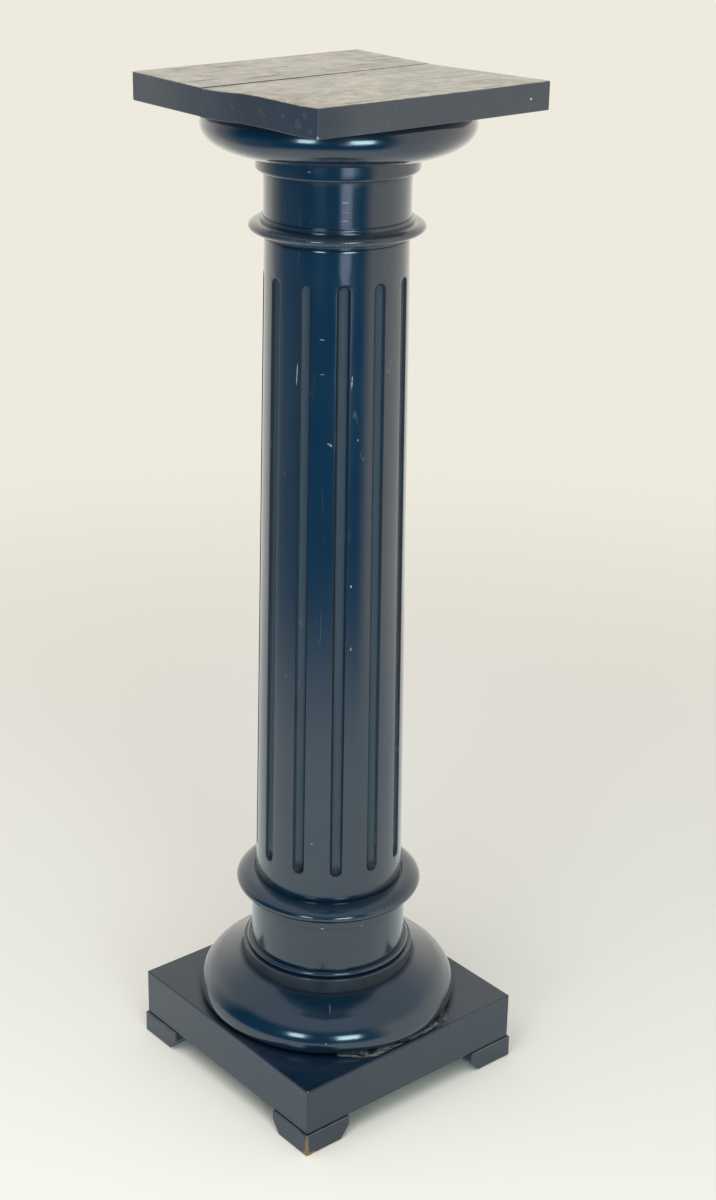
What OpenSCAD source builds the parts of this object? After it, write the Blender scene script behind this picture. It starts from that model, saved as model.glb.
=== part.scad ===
// Column-shaped pedestal stand of ebonised wood: four corner feet, a square plinth, a turned base,
// a fluted shaft, a turned capital and a square top made of two boards glued edge to edge.
// Millimetres, +Z up. The origin is at the middle of the stand, on the floor under its feet.
// X runs along the grain of the top boards.

/* [Feet] */
// Height of each corner foot
foot_h = 25; // [15:1:60]
// Side of a foot, measured across its top
foot_w = 59; // [40:1:90]
// How far the feet stand out past the plinth's sides
foot_proud = 2.3; // [0.5:0.1:6]
// Height of the canted lower part of a foot's inner faces
foot_cant_h = 15; // [5:1:15]
// How much narrower the cant makes a foot at the floor
foot_cant = 12; // [2:1:25]

/* [Plinth] */
// Side of the square plinth
plinth_w = 290; // [280:1:420]
// Thickness of the plinth
plinth_h = 54; // [25:1:100]

/* [Base cushion] */
// Radius of the cushion at its widest
cushion_r = 141.2; // [130:0.1:144]
// Height of the cushion
cushion_h = 48; // [40:1:80]
// Height of the rounded underside of the cushion's nose
cushion_lower_h = 8; // [4:0.5:12]
// Height of the curve above the nose, if it turned right over
cushion_upper_h = 32.2; // [20:0.1:40]
// How far in the curve above the nose would reach
cushion_upper_run = 37.9; // [20:0.1:46]
// Radius of the long shallow curve from the nose up to the collar
cushion_crown_r = 600; // [200:10:1200]

/* [Base collar] */
// Radius of the flat band at the collar's foot
band_r = 93.3; // [88:0.1:100]
// Height of that band
band_h = 16; // [8:1:30]
// Radius over the small bead that sits on the band
drum_bead_r = 89.3; // [86:0.1:92]
// Height of that bead
drum_bead_h = 6; // [4:0.5:10]
// Radius of the plain drum
drum_r = 83.9; // [75:0.1:85]
// Height of the drum
drum_h = 53; // [30:1:120]
// Radius of the fillet under the ring
fillet_r = 87; // [85:0.1:90]
// Height of that fillet
fillet_h = 12; // [5:1:20]
// Radius over the ring that the shaft stands on
ring_r = 100.4; // [95:0.1:110]
// Height of the ring's part above its nose
ring_upper_h = 9.3; // [5:0.1:16]
// Height of the ring's part below its nose
ring_lower_h = 7.5; // [4:0.1:12]
// How far the ring's underside runs out from the fillet's side to its nose
ring_lower_run = 10; // [6:0.1:13]

/* [Shaft] */
// Radius of the shaft at its foot
shaft_foot_r = 79.3; // [76:0.1:84]
// Radius of the shaft under the astragal
shaft_top_r = 71; // [64:0.1:74]
// Height of the tapered shaft from the ring to the astragal
shaft_h = 701; // [400:1:1000]
// Width of the open quirk between the shaft's foot and the ring's edge
quirk_w = 1.6; // [0.8:0.1:3]
// Height of the plain neck above the astragal
neck_h = 44; // [20:1:80]
// Radius of the neck
neck_r = 71.9; // [64:0.1:74]

/* [Astragal] */
// Radius over the astragal's bead
astragal_r = 86.4; // [82:0.1:92]
// Height of the astragal's bead
astragal_h = 10.8; // [6:0.1:14]
// Radius of the fillet under the bead
lower_fillet_r = 77.5; // [75:0.1:80]
// Height of the fillet under the bead
lower_fillet_h = 1.5; // [1:0.1:6]
// Radius of the fillet above the bead
upper_fillet_r = 75; // [74:0.1:80]
// Height of the fillet above the bead
upper_fillet_h = 4.2; // [1:0.1:8]

/* [Flutes] */
// Number of flutes around the shaft
flutes = 12; // [6:1:16]
// Radius of the round cutter that a flute is cut with
flute_r = 7.2; // [5:0.1:8]
// Depth of a flute at its middle
flute_depth = 4.5; // [2:0.1:6]
// Plain height left at the shaft's foot, below the flutes
flute_low_margin = 31; // [15:1:100]
// Plain height left under the astragal, above the flutes
flute_high_margin = 37; // [15:1:100]
// Turn of the flutes from the plinth's sides, in degrees
flute_turn = -4; // [-15:1:15]

/* [Capital] */
// Radius of the annulet, the ring under the echinus
annulet_r = 80; // [76:0.1:84]
// Height of the annulet
annulet_h = 17.5; // [8:0.5:30]
// Radius of the annulet's rounded lower edge
annulet_edge_r = 4; // [1:0.5:6]
// Radius of the echinus at its widest
echinus_r = 132.4; // [120:0.1:136]
// Height of the echinus from its underside to its widest point
echinus_lower_h = 27; // [15:1:40]
// How far in the curve of the underside starts, from the widest radius
echinus_lower_run = 45; // [30:1:50]
// Height of the echinus above its widest point
echinus_upper_h = 15; // [6:1:25]
// How far the echinus draws in again at its top
echinus_upper_run = 10; // [4:1:20]

/* [Top boards] */
// Side of the square top
top_w = 279; // [272:1:420]
// Thickness of the top boards
top_h = 27; // [15:1:50]
// Width of the narrower of the two boards
narrow_w = 110; // [60:1:135]

/* [Hidden] */

ebony = "#15171b";
satin_ebony = "#1f2124";
round_fn = 180;

// Heights of the joints between the pieces, from the floor up
plinth_z = foot_h;
cushion_z = plinth_z + plinth_h;
collar_z = cushion_z + cushion_h;
collar_h = band_h + drum_bead_h + drum_h + fillet_h + ring_lower_h + ring_upper_h;
shaft_z = collar_z + collar_h;
astragal_all_h = lower_fillet_h + astragal_h + upper_fillet_h;
capital_z = shaft_z + shaft_h + astragal_all_h + neck_h;
top_z = capital_z + annulet_h + echinus_lower_h + echinus_upper_h;

// Where a curve would start on a neighbour's face, it starts this many degrees further on
start_angle = 6;
// How far the cushion's nose turns in under it, and where its crown takes over above
seat_angle = -75;
crown_angle = 62;

// Points along an elliptical arc about [r, z], from angle a0 to a1
function arc(r, z, run, rise, a0, a1, steps) =
    [for (i = [0:steps]) let (a = a0 + (a1 - a0) * i / steps) [r + run * cos(a), z + rise * sin(a)]];

// Points along a circular arc of the given radius from p to q, bulging to the right of that way
function bulge(p, q, radius, steps) =
    let (chord = q - p, half = norm(chord) / 2,
         side = [chord[1], -chord[0]] / norm(chord),
         middle = (p + q) / 2 - side * sqrt(radius * radius - half * half),
         a0 = atan2(p[1] - middle[1], p[0] - middle[0]),
         a1 = atan2(q[1] - middle[1], q[0] - middle[0]))
    [for (i = [1:steps]) let (a = a0 + (a1 - a0) * i / steps) middle + radius * [cos(a), sin(a)]];

// A turned piece: its outline from the foot up, closed along the axis
module turned(outline) {
    first = outline[0];
    last = outline[len(outline) - 1];
    rotate_extrude($fn = round_fn)
        polygon(concat([[0, first[1]]], outline, [[0, last[1]]]));
}

// One foot with its outer corner at the origin, reaching towards +X and +Y
module foot_block() {
    side = concat([[0, 0]],
                  arc(foot_proud, foot_h - foot_proud, foot_proud, foot_proud, 180, 90, 6),
                  [[foot_w, foot_h], [foot_w, foot_cant_h], [foot_w - foot_cant, 0]]);
    intersection() {
        rotate([90, 0, 0])
            translate([0, 0, -foot_w])
                linear_extrude(foot_w)
                    polygon(side);
        rotate([90, 0, 90])
            linear_extrude(foot_w)
                polygon(side);
    }
}

// The foot under the corner that lies towards [sx, sy]
module foot_at(sx, sy) {
    corner = plinth_w / 2 + foot_proud;
    color(satin_ebony)
        scale([-sx, -sy, 1])
            translate([-corner, -corner, 0])
                foot_block();
}

module foot_front_left() { foot_at(-1, -1); }
module foot_front_right() { foot_at(1, -1); }
module foot_back_left() { foot_at(-1, 1); }
module foot_back_right() { foot_at(1, 1); }

module plinth() {
    color(satin_ebony)
        translate([-plinth_w / 2, -plinth_w / 2, plinth_z])
            cube([plinth_w, plinth_w, plinth_h]);
}

module base_cushion() {
    under = arc(cushion_r - cushion_lower_h, cushion_lower_h, cushion_lower_h, cushion_lower_h,
                seat_angle, -start_angle, 8);
    nose = arc(cushion_r - cushion_upper_run, cushion_lower_h, cushion_upper_run, cushion_upper_h,
               0, crown_angle, 12);
    crown = bulge(nose[len(nose) - 1], [band_r, cushion_h], cushion_crown_r, 10);
    color(ebony)
        translate([0, 0, cushion_z])
            turned(concat([[under[0][0], 0]], under, nose, crown));
}

module base_collar() {
    bead_z = band_h;
    drum_z = bead_z + drum_bead_h;
    fillet_z = drum_z + drum_h;
    ring_z = fillet_z + fillet_h;
    nose_z = ring_z + ring_lower_h;
    half_bead = drum_bead_h / 2;
    lip_r = shaft_foot_r + quirk_w;
    color(ebony)
        translate([0, 0, collar_z])
            turned(concat(
                [[band_r, 0], [band_r, band_h]],
                arc(drum_bead_r - half_bead, bead_z + half_bead, half_bead, half_bead, -90, 90, 10),
                [[drum_r, drum_z], [drum_r, fillet_z], [fillet_r, fillet_z], [fillet_r, ring_z]],
                arc(ring_r - ring_lower_run, nose_z, ring_lower_run, ring_lower_h, -90, 0, 10),
                arc(lip_r, nose_z, ring_r - lip_r, ring_upper_h, start_angle, 90, 14)));
}

// The outline of the shaft, its astragal and its neck
module shaft_body() {
    ease = quirk_w / 2;
    bead_z = shaft_h + lower_fillet_h;
    half = astragal_h / 2;
    bead_run = astragal_r - lower_fillet_r;
    neck_z = shaft_h + astragal_all_h;
    turned(concat(
        [[shaft_foot_r - ease, 0], [shaft_foot_r, ease], [shaft_top_r, shaft_h],
         [lower_fillet_r, shaft_h], [lower_fillet_r, bead_z]],
        arc(lower_fillet_r, bead_z + half, bead_run, half, start_angle - 90, 90 - start_angle, 16),
        [[upper_fillet_r, bead_z + astragal_h], [upper_fillet_r, neck_z],
         [neck_r, neck_z], [neck_r, neck_z + neck_h]]));
}

// One flute: a round rod with ball ends, laid along the shaft's slope on the +X side
module flute_cutter() {
    slope = atan((shaft_foot_r - shaft_top_r) / shaft_h);
    half_w = sqrt(flute_r * flute_r - pow(flute_r - flute_depth, 2));
    low = flute_low_margin + half_w;
    high = shaft_h - flute_high_margin - half_w;
    rod = (high - low) / cos(slope);
    low_r = shaft_foot_r - low * tan(slope) + flute_r - flute_depth;
    translate([low_r, 0, low])
        rotate([0, -slope, 0]) {
            sphere(r = flute_r, $fn = 48);
            cylinder(r = flute_r, h = rod, $fn = 48);
            translate([0, 0, rod])
                sphere(r = flute_r, $fn = 48);
        }
}

module shaft() {
    color(ebony)
        translate([0, 0, shaft_z])
            difference() {
                shaft_body();
                for (i = [0:flutes - 1])
                    rotate(flute_turn + i * 360 / flutes)
                        flute_cutter();
            }
}

module capital() {
    nose_z = annulet_h + echinus_lower_h;
    color(ebony)
        translate([0, 0, capital_z])
            turned(concat(
                arc(annulet_r - annulet_edge_r, annulet_edge_r, annulet_edge_r, annulet_edge_r, -90, 0, 6),
                [[annulet_r, annulet_h]],
                arc(echinus_r - echinus_lower_run, nose_z, echinus_lower_run, echinus_lower_h, -90, 0, 18),
                arc(echinus_r - echinus_upper_run, nose_z, echinus_upper_run, echinus_upper_h, start_angle, 90, 10)));
}

// One board of the top, between two distances from the front edge
module top_board(from, to) {
    color(satin_ebony)
        translate([-top_w / 2, from - top_w / 2, top_z])
            cube([top_w, to - from, top_h]);
}

module top_board_wide() { top_board(0, top_w - narrow_w); }
module top_board_narrow() { top_board(top_w - narrow_w, top_w); }

foot_front_left();
foot_front_right();
foot_back_left();
foot_back_right();
plinth();
base_cushion();
base_collar();
shaft();
capital();
top_board_wide();
top_board_narrow();
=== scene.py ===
# %% [markdown]
# # An ebonised column pedestal
# A stand for a plant or a bust: a square plinth on four small feet, a turned base, a shaft with
# twelve flutes, a turned capital, and a square top of two boards glued edge to edge. The wood is
# stained black and polished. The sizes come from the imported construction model, and this lesson
# gives each piece its worn edges, its warp and its finish.
# Lengths are worked out in millimetres, as a turner would, and become metres when a mesh is made.

# %% Load the construction model
import math
import random

import bpy
import numpy as np
from mathutils import Matrix, Vector, noise


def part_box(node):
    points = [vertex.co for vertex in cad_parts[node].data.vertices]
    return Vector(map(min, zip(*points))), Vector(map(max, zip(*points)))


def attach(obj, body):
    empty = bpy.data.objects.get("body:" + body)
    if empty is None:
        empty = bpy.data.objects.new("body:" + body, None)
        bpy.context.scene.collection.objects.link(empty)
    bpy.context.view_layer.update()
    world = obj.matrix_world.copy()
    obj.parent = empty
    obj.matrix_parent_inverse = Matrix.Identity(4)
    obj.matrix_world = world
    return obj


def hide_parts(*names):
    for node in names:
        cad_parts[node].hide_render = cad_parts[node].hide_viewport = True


MM = 0.001
scene = bpy.context.scene
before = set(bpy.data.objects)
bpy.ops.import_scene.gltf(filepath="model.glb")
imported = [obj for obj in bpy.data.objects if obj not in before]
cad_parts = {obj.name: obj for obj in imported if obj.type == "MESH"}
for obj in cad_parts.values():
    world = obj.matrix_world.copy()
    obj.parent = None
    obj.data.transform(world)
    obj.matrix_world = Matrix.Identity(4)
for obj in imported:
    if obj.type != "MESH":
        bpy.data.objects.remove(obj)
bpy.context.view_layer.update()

# %% [markdown]
# ## Where the pieces lie
# Every piece is built again over its construction solid, so its place is read from that solid.
# A turned piece needs only its lowest and highest point; a board or a foot needs its whole box.

# %% Read the places


def box_mm(node):
    """The lowest and highest corner of a construction solid, in millimetres."""
    low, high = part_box(node)
    return np.array(low) / MM, np.array(high) / MM


PLINTH_LOW, PLINTH_HIGH = box_mm("plinth")
CUSHION_Z = box_mm("base_cushion")[0][2]
COLLAR_Z = box_mm("base_collar")[0][2]
SHAFT_Z = box_mm("shaft")[0][2]
CAPITAL_Z = box_mm("capital")[0][2]
TOP_Z = box_mm("top_board_wide")[0][2]
print("joints at", [round(float(z), 1) for z in (CUSHION_Z, COLLAR_Z, SHAFT_Z, CAPITAL_Z, TOP_Z)])

# %% [markdown]
# ## The camera
# The camera stands in front of the nearest corner, a little above the top, and looks down at the
# stand. A long lens would flatten it; this one keeps the strong narrowing towards the floor.
# The picture is shifted sideways on the film, as a view camera does it, so that the upright lines
# keep their lean while the stand sits left of the middle.

# %% Place the camera
EYE_AZIMUTH = math.radians(-129.856)
EYE_DISTANCE, EYE_HEIGHT = 1931.2, 1343.9
AIM_ASIDE, PITCH, ROLL = math.radians(0.987), math.radians(-22.449), math.radians(0.413)
LENS, FILM_WIDTH, FILM_SHIFT = 60.285, 36, 0.0483


def direction(azimuth, rise=0.0):
    """A vector of length 1 across the floor, plus a rise."""
    return Vector((math.cos(azimuth), math.sin(azimuth), rise))


heading = EYE_AZIMUTH + math.pi + AIM_ASIDE
ahead = direction(heading) * math.cos(PITCH) + Vector((0, 0, math.sin(PITCH)))
level_right = ahead.cross(Vector((0, 0, 1))).normalized()
level_up = level_right.cross(ahead)
right = level_right * math.cos(ROLL) + level_up * math.sin(ROLL)
up = level_up * math.cos(ROLL) - level_right * math.sin(ROLL)
eye = (direction(EYE_AZIMUTH) * EYE_DISTANCE + Vector((0, 0, EYE_HEIGHT))) * MM

camera_data = bpy.data.cameras.new("camera")
camera_data.lens = LENS
camera_data.sensor_width = FILM_WIDTH
camera_data.shift_x = FILM_SHIFT
camera = bpy.data.objects.new("camera", camera_data)
camera.matrix_world = Matrix.Translation(eye) @ Matrix((right, up, -ahead)).transposed().to_4x4()
scene.collection.objects.link(camera)
scene.camera = camera
scene.view_settings.view_transform = "Standard"
print("camera at", [round(value, 3) for value in eye])

# %% [markdown]
# ## Sums on shader sockets
# A finish is a chain of small sums: a mask times a colour, one minus a mask, two noises added.
# Wiring each sum by hand hides what it means, so one small class wraps a socket and lets Python's
# own signs add the Math nodes. Every other node comes from its one method `node`, which takes the
# node's type, its settings, and the values or links of its sockets.

# %% Wrap a socket


class Wire:
    """A socket of a shader tree that takes part in sums."""

    def __init__(self, tree, socket=None):
        self.tree = tree
        self.socket = socket

    def node(self, kind, settings=None, sockets=None, output=0):
        """Adds a node: settings first, then its sockets by name or number; returns one output."""
        made = self.tree.nodes.new("ShaderNode" + kind)
        for name, value in (settings or {}).items():
            if name == "stops":
                self.fill_ramp(made.color_ramp, value)
            else:
                setattr(made, name, value)
        for name, value in (sockets or {}).items():
            if isinstance(value, Wire):
                self.tree.links.new(value.socket, made.inputs[name])
            else:
                made.inputs[name].default_value = value
        return Wire(self.tree, made.outputs[output] if len(made.outputs) else None)

    @staticmethod
    def fill_ramp(ramp, stops):
        for place, value in stops[2:]:
            ramp.elements.new(place)
        for element, (place, value) in zip(ramp.elements, sorted(stops)):
            element.position = place
            element.color = (value, value, value, 1) if isinstance(value, (int, float)) else (*value, 1)

    def math(self, operation, *values):
        return self.node("Math", {"operation": operation}, dict(enumerate(values)))

    def __add__(self, other):
        return self.math("ADD", self, other)

    def __sub__(self, other):
        return self.math("SUBTRACT", self, other)

    def __rsub__(self, other):
        return self.math("SUBTRACT", other, self)

    def __mul__(self, other):
        return self.math("MULTIPLY", self, other)

    def __truediv__(self, other):
        return self.math("DIVIDE", self, other)

    __radd__ = __add__
    __rmul__ = __mul__

    def between(self, low, high):
        """0 below low, 1 above high, smooth between them. With low above high it falls instead."""
        sockets = {"Value": self, "From Min": low, "From Max": high}
        return self.node("MapRange", {"interpolation_type": "SMOOTHSTEP"}, sockets)

    def held(self):
        """The value kept between 0 and 1."""
        return self.node("Clamp", None, {"Value": self})

    def size(self):
        """The value without its sign."""
        return self.math("ABSOLUTE", self)

    def blend(self, first, second):
        """The first colour where this mask is 0, the second where it is 1."""
        sockets = {0: self, 6: opaque(first), 7: opaque(second)}
        return self.node("Mix", {"data_type": "RGBA"}, sockets, 2)


def opaque(colour):
    """A linked colour as it is, or a plain one with its fourth number."""
    return colour if isinstance(colour, Wire) else (*colour, 1)


def linear(red, green, blue):
    """A colour as a screen names it, 0 to 255, as the amount of light a shader wants."""
    shares = (red / 255, green / 255, blue / 255)
    return tuple(s / 12.92 if s <= 0.04045 else ((s + 0.055) / 1.055) ** 2.4 for s in shares)


# %% [markdown]
# ## Surroundings
# A black polished surface shows its room more than its own colour. A real one would stand on a pale
# sheet with daylight windows behind the camera. The sheet here is a wide pale disc whose rim fades
# away, so that no wall blocks a view from behind. The room is the world: pale to the eye, and to
# reflections pale at the sides and dim blue on the camera's side, as an unlit room is.

# %% Spread the floor
FLOOR_RADIUS = 2400


def disc(radius, rings, columns):
    """Points and faces of a flat round sheet."""
    points = [(0, 0, 0)]
    faces = []
    for ring in range(rings):
        for column in range(columns):
            turn = math.tau * column / columns
            reach = radius * (ring + 1) / rings
            points.append((reach * math.cos(turn), reach * math.sin(turn), 0))
    for column in range(columns):
        after = (column + 1) % columns
        faces.append((0, 1 + column, 1 + after))
        for ring in range(rings - 1):
            near, far = 1 + ring * columns, 1 + (ring + 1) * columns
            faces.append((near + column, far + column, far + after, near + after))
    return points, faces


def new_mesh(name, points, faces):
    """A mesh in the scene, from points in millimetres."""
    mesh = bpy.data.meshes.new(name)
    mesh.from_pydata([tuple(float(v) * MM for v in p) for p in points], [], faces)
    thing = bpy.data.objects.new(name, mesh)
    scene.collection.objects.link(thing)
    return thing


def new_material(name, shown):
    """A material with an empty tree; shown is its plain colour outside the render."""
    material = bpy.data.materials.new(name)
    material.use_nodes = True
    material.node_tree.nodes.clear()
    material.diffuse_color = (*shown, 1)
    return material, Wire(material.node_tree)


floor = new_mesh("floor", *disc(FLOOR_RADIUS, 6, 96))
floor_paper, pen = new_material("floor_paper", (0.78, 0.75, 0.68))
place = pen.node("TexCoord", output="Object")
distance = pen.node("VectorMath", {"operation": "LENGTH"}, {0: place}, "Value")
is_glossy = pen.node("LightPath", output="Is Glossy Ray")
rim = distance.between(0.55, 2.2) * (1 - is_glossy) + distance.between(0.75, 1.7) * is_glossy
shown = is_glossy.blend((0.90, 0.855, 0.765), (0.80, 0.82, 0.80))
paper = pen.node("BsdfDiffuse", None, {"Color": shown})
clear = pen.node("BsdfTransparent")
underneath = pen.node("NewGeometry", output="Backfacing")
sheet = pen.node("MixShader", None, {0: (rim + underneath).held(), 1: paper, 2: clear})
pen.node("OutputMaterial", None, {"Surface": sheet})
floor.data.materials.append(floor_paper)
print("floor disc", FLOOR_RADIUS * 2, "mm across")

# %% Fill the room with light
ROOM_EYE = linear(238, 234, 222)
ROOM_BRIGHT = (0.95, 0.93, 0.86)
ROOM_SHADED = (0.47, 0.49, 0.49)
ROOM_CEILING = (0.52, 0.57, 0.60)
ROOM_DIM = (0.01, 0.16, 0.39)
ROOM_DARK = (0.005, 0.075, 0.18)
ROOM_SILL = (1.4, 1.6, 2.2)
SOFT_LIGHT = (0.46, 0.47, 0.48)
front = direction(EYE_AZIMUTH)
side = direction(EYE_AZIMUTH + math.pi / 2)

world = bpy.data.worlds.new("room")
scene.world = world
world.use_nodes = True
world.node_tree.nodes.clear()
sky = Wire(world.node_tree)
towards = sky.node("TexCoord", output="Generated")
facing, aside, above = [
    sky.node("VectorMath", {"operation": "DOT_PRODUCT"}, {0: towards, 1: way}, "Value")
    for way in (front, side, (0, 0, 1))
]
walls = (aside - facing * 0.5).between(-0.85, -0.45).blend(ROOM_SHADED, ROOM_BRIGHT)
ceiling = above.between(0.35, 0.75).blend(walls, ROOM_CEILING)
dim = (facing - aside * 0.45).between(0.13, 0.5) * above.between(0.80, 0.58)
dim = dim * (1 - 0.5 * aside.between(-0.6, -1.05) * above.between(-0.05, -0.3))
across, rise = aside / facing, above / facing
sill = across.between(0.07, 0.12) * across.between(0.46, 0.34) * rise.between(-0.32, -0.22)
sill = sill * rise.between(-0.04, -0.10) * facing.between(0, 0.1)
unlit = above.between(-0.08, 0.12).blend(ROOM_DIM, ROOM_DARK)
seen_in_gloss = sill.blend(dim.blend(ceiling, unlit), ROOM_SILL)
is_camera = sky.node("LightPath", output="Is Camera Ray")
is_glossy = sky.node("LightPath", output="Is Glossy Ray")
shown_room = is_camera.blend(is_glossy.blend(SOFT_LIGHT, seen_in_gloss), ROOM_EYE)
room = sky.node("Background", None, {"Color": shown_room, "Strength": 1.0})
sky.node("OutputWorld", None, {"Surface": room})

# %% [markdown]
# Two windows behind the camera give the bright marks on every rounded edge. Area lamps of a
# window's size do this well: they light the piece and also show in its polish. A third, wide and
# soft, hangs above so that the floor stays even and the shadow under the plinth stays soft. It is
# kept out of the reflections, where the ceiling already is.

# %% Hang the lamps


def window(name, turn_deg, low_deg, high_deg, width_deg, distance_mm, watts, colour):
    """An area lamp seen from the column's middle at a turn from the camera's side."""
    turn = EYE_AZIMUTH + math.radians(turn_deg)
    middle = math.radians((low_deg + high_deg) / 2)
    aim = Vector((0, 0, 900))
    spot = aim + direction(turn, math.tan(middle)) * distance_mm
    lamp = bpy.data.lights.new(name, "AREA")
    lamp.shape = "RECTANGLE"
    lamp.size = 2 * distance_mm * math.tan(math.radians(width_deg / 2)) * MM
    span = math.tan(math.radians(high_deg)) - math.tan(math.radians(low_deg))
    lamp.size_y = distance_mm * span * MM
    lamp.energy = watts
    lamp.color = colour
    hang(name, lamp, spot * MM, aim * MM)


def hang(name, lamp, spot, aim):
    """Puts a lamp at a spot and turns it to its aim, both in metres."""
    holder = bpy.data.objects.new(name, lamp)
    holder.location = spot
    holder.rotation_mode = "QUATERNION"
    holder.rotation_quaternion = (Vector(aim) - Vector(spot)).to_track_quat("-Z", "Y")
    scene.collection.objects.link(holder)
    print(name, "lamp", round(lamp.size, 2), "m wide,", lamp.energy, "W")
    return holder


window("left_window", -25, -2, 12, 13, 2700, 13, (0.68, 0.93, 1.0))
window("right_window", 19, -4, 11, 18, 2900, 24, (0.66, 0.94, 1.0))
overhead = bpy.data.lights.new("overhead", "AREA")
overhead.size = 2.6
overhead.energy = 56
overhead_lamp = hang("overhead", overhead, (-0.8, -0.5, 2.9), (0, 0, 0.3))
overhead_lamp.visible_glossy = False

# %% [markdown]
# ## Tools for turned pieces
# A turner works from an outline: the distance from the axis at each height. A lathe mesh does the
# same, by turning a list of [radius, height] points. Real arrises are never knife sharp, so each
# corner has a small radius of its own, and two guard points close beside it keep the flat parts
# shading flat.

# %% Draw an outline with eased corners


def arc(r, z, run, rise, start, end, steps):
    """Points of an elliptical arc about [r, z], from one angle to another, in degrees."""
    turns = np.radians(np.linspace(start, end, steps + 1))
    return [(r + run * math.cos(t), z + rise * math.sin(t), 0) for t in turns]


def upright(radius, base, *rises):
    """Points straight up a cylinder, each a rise above its base."""
    return [(radius, base + rise, 0) for rise in rises]


def eased(corners, steps=5, guard=0.5):
    """An outline of [radius, height, ease] corners with each ease drawn as a small arc."""
    made = [np.array(corners[0][:2], float)]
    for before, here, after in zip(corners, corners[1:], corners[2:]):
        spot = np.array(here[:2], float)
        if here[2] == 0:
            made.append(spot)
            continue
        back, onward = np.array(before[:2]) - spot, np.array(after[:2]) - spot
        back_length, onward_length = np.linalg.norm(back), np.linalg.norm(onward)
        back, onward = back / back_length, onward / onward_length
        half = math.acos(np.clip(back @ onward, -1, 1)) / 2
        reach = min(here[2] / math.tan(half), 0.45 * back_length, 0.45 * onward_length)
        radius = reach * math.tan(half)
        middle = spot + (back + onward) / np.linalg.norm(back + onward) * radius / math.sin(half)
        first, last = spot + back * reach, spot + onward * reach
        sweep = math.pi - 2 * half
        bend = 1 if back[0] * onward[1] - back[1] * onward[0] < 0 else -1
        made.append(first + back * min(guard, (back_length - reach) / 3))
        for step in range(steps + 1):
            turn = bend * sweep * step / steps
            arm = first - middle
            made.append(middle + np.array([arm[0] * math.cos(turn) - arm[1] * math.sin(turn),
                                           arm[0] * math.sin(turn) + arm[1] * math.cos(turn)]))
        made.append(last + onward * min(guard, (onward_length - reach) / 3))
    made.append(np.array(corners[-1][:2], float))
    return np.array(made)


# %% Turn an outline into a piece


def turn(outline, turns):
    """Points and faces of a closed turned solid; turns holds each row's angles."""
    rows, columns = len(outline), turns.shape[-1]
    radius, height = outline[:, 0, None], outline[:, 1, None] + np.zeros_like(turns)
    ring = np.stack([radius * np.cos(turns), radius * np.sin(turns), height], -1)
    points = np.concatenate([ring.reshape(-1, 3), [[0, 0, outline[0, 1]], [0, 0, outline[-1, 1]]]])
    row, column = np.meshgrid(np.arange(rows - 1), np.arange(columns), indexing="ij")
    after = (column + 1) % columns
    start = row * columns
    corners = [start + column, start + after, start + columns + after, start + columns + column]
    faces = [tuple(face) for face in np.stack(corners, -1).reshape(-1, 4).tolist()]
    foot, head, last = rows * columns, rows * columns + 1, (rows - 1) * columns
    for i in range(columns):
        faces.append((foot, (i + 1) % columns, i))
        faces.append((head, last + i, last + (i + 1) % columns))
    return points, faces


def even_turns(rows, columns):
    """The same evenly spaced angles for every row."""
    return np.tile(np.linspace(0, math.tau, columns, endpoint=False), (rows, 1))


SHARP = math.radians(32)


def make_piece(name, points, faces, nodes, finish):
    """Makes a mesh piece that stands in for construction solids and takes a finish."""
    piece = new_mesh(name, points, faces)
    piece.data.shade_smooth()
    piece.data.set_sharp_from_angle(angle=SHARP)
    piece.data.materials.append(finish)
    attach(piece, "root")
    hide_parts(*nodes)
    print(f"{name}: {len(points)} points, {len(faces)} faces")
    return piece


# %% [markdown]
# ## The polished finish
# Ebonised wood is stained black and then filled with many thin coats of shellac. The colour is a
# very dark blue-black, and what the eye sees is the clear coat: sharp, but never quite even. It
# is dulled by hands and dust in patches, pulled in by the grain, and crossed by hairline scratches
# and a few pale knocks. A Principled shader with a full coat gives both layers. Patches go to the
# roughness and the coat, and the slow waves of the polish go to the bump.

# %% Patterns shared by the finishes


def soft_noise(pen, place, size_mm, detail=3.0, rough=0.5, seed=0.0):
    """Cloudy noise whose blotches are about size_mm across, from 0 to 1."""
    sockets = {
        "Vector": place, "W": seed, "Scale": 1 / (size_mm * MM), "Detail": detail, "Roughness": rough,
    }
    return pen.node("TexNoise", {"noise_dimensions": "4D"}, sockets)


def stretched(pen, place, along):
    """Coordinates squeezed along one axis, so that a pattern runs long in that direction."""
    return pen.node("VectorMath", {"operation": "MULTIPLY"}, {0: place, 1: along})


def hairlines(pen, place, size_mm, thin, rarity, seed):
    """Long thin scratches: a noise drawn out along a slanted line, where it crosses its middle."""
    slant = {"Vector": place, "Rotation": (0.5 + seed, 0.35 * seed, 0.9), "Scale": (1.0, 1.0, 0.07)}
    turned_place = pen.node("Mapping", None, slant)
    waves = soft_noise(pen, turned_place, size_mm, 1.0, 0.4, seed)
    line = (waves - 0.5).size().between(thin, 0)
    kept = soft_noise(pen, place, size_mm * 1.4, 1.0, 0.5, seed + 3).between(rarity, rarity + 0.04)
    return line * kept


def flecks(pen, place, spacing_mm, radius_mm, share):
    """Small round marks, one in some of the cells of an uneven grid."""
    cells = {"Vector": place, "Scale": 1 / (spacing_mm * MM)}
    gap = pen.node("TexVoronoi", None, cells, "Distance")
    tint = pen.node("TexVoronoi", None, cells, "Color")
    pick = pen.node("SeparateColor", None, {"Color": tint}, 0)
    size = radius_mm / spacing_mm
    return gap.between(size, size * 0.6) * pick.between(1 - share, 1 - share + 0.01)


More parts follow.
